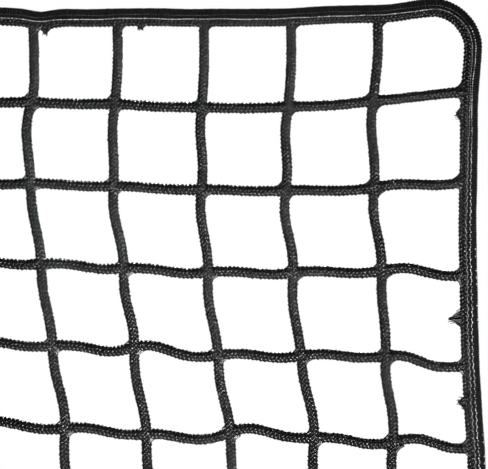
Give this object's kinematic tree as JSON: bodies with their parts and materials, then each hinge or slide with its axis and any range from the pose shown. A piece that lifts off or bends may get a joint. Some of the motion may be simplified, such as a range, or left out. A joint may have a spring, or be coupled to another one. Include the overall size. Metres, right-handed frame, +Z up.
{
  "type": "cargo climbing net",
  "caption": "Black knotless square-mesh climbing net of thick knitted cord, with folded webbing sewn around its rounded border",
  "frame": {"origin": "the middle of the net's top edge, on the outside of the webbing's fold", "axes": "+Z up the hanging net, +X to the right seen from its front, and -Y out of its front"},
  "size_m": [0.829, 0.0138, 1.074],
  "materials": {
    "cord": "matt black knitted multifilament cord, with the sheen of synthetic yarn",
    "webbing": "matt black ribbed webbing",
    "thread": "light grey sewing thread",
    "cut_ends": "frayed black cord ends"
  },
  "bodies": {
    "top_panel": {"binding_top_left": "webbing", "binding_top_right": "webbing", "binding_corner_top_left": "webbing", "binding_corner_top_right": "webbing", "edge_cord_top": "cord", "seam_top": "thread", "uprights_1": "cord", "row_cord_1": "cord", "row_cord_2": "cord", "edge_cord_left_1": "cord", "edge_cord_right_1": "cord", "binding_left_1": "webbing", "binding_right_1": "webbing", "seam_left_1": "thread", "seam_right_1": "thread", "trimmed_ends_top": "cut_ends", "trimmed_ends_right_1": "cut_ends"},
    "upper_panel": {"uprights_2": "cord", "row_cord_3": "cord", "row_cord_4": "cord", "row_cord_5": "cord", "edge_cord_left_2": "cord", "edge_cord_right_2": "cord", "binding_left_2": "webbing", "binding_right_2": "webbing", "seam_left_2": "thread", "seam_right_2": "thread", "trimmed_ends_right_2": "cut_ends"},
    "lower_panel": {"uprights_3": "cord", "row_cord_6": "cord", "row_cord_7": "cord", "row_cord_8": "cord", "edge_cord_left_3": "cord", "edge_cord_right_3": "cord", "binding_left_3": "webbing", "binding_right_3": "webbing", "seam_left_3": "thread", "seam_right_3": "thread"},
    "bottom_panel": {"uprights_4": "cord", "row_cord_9": "cord", "row_cord_10": "cord", "edge_cord_bottom": "cord", "seam_bottom": "thread", "binding_bottom_left": "webbing", "binding_bottom_right": "webbing", "binding_corner_bottom_left": "webbing", "binding_corner_bottom_right": "webbing", "edge_cord_left_4": "cord", "edge_cord_right_4": "cord", "binding_left_4": "webbing", "binding_right_4": "webbing", "seam_left_4": "thread", "seam_right_4": "thread"}
  },
  "joints": [
    {"name": "fold_1", "type": "hinge", "parent": "top_panel", "child": "upper_panel", "pos_m": [0, 0, -0.2045], "axis": [1, 0, 0], "range_deg": [-80, 80]},
    {"name": "fold_2", "type": "hinge", "parent": "upper_panel", "child": "lower_panel", "pos_m": [0, 0, -0.4895], "axis": [1, 0, 0], "range_deg": [-80, 80]},
    {"name": "fold_3", "type": "hinge", "parent": "lower_panel", "child": "bottom_panel", "pos_m": [0, 0, -0.7745], "axis": [1, 0, 0], "range_deg": [-80, 80]}
  ]
}
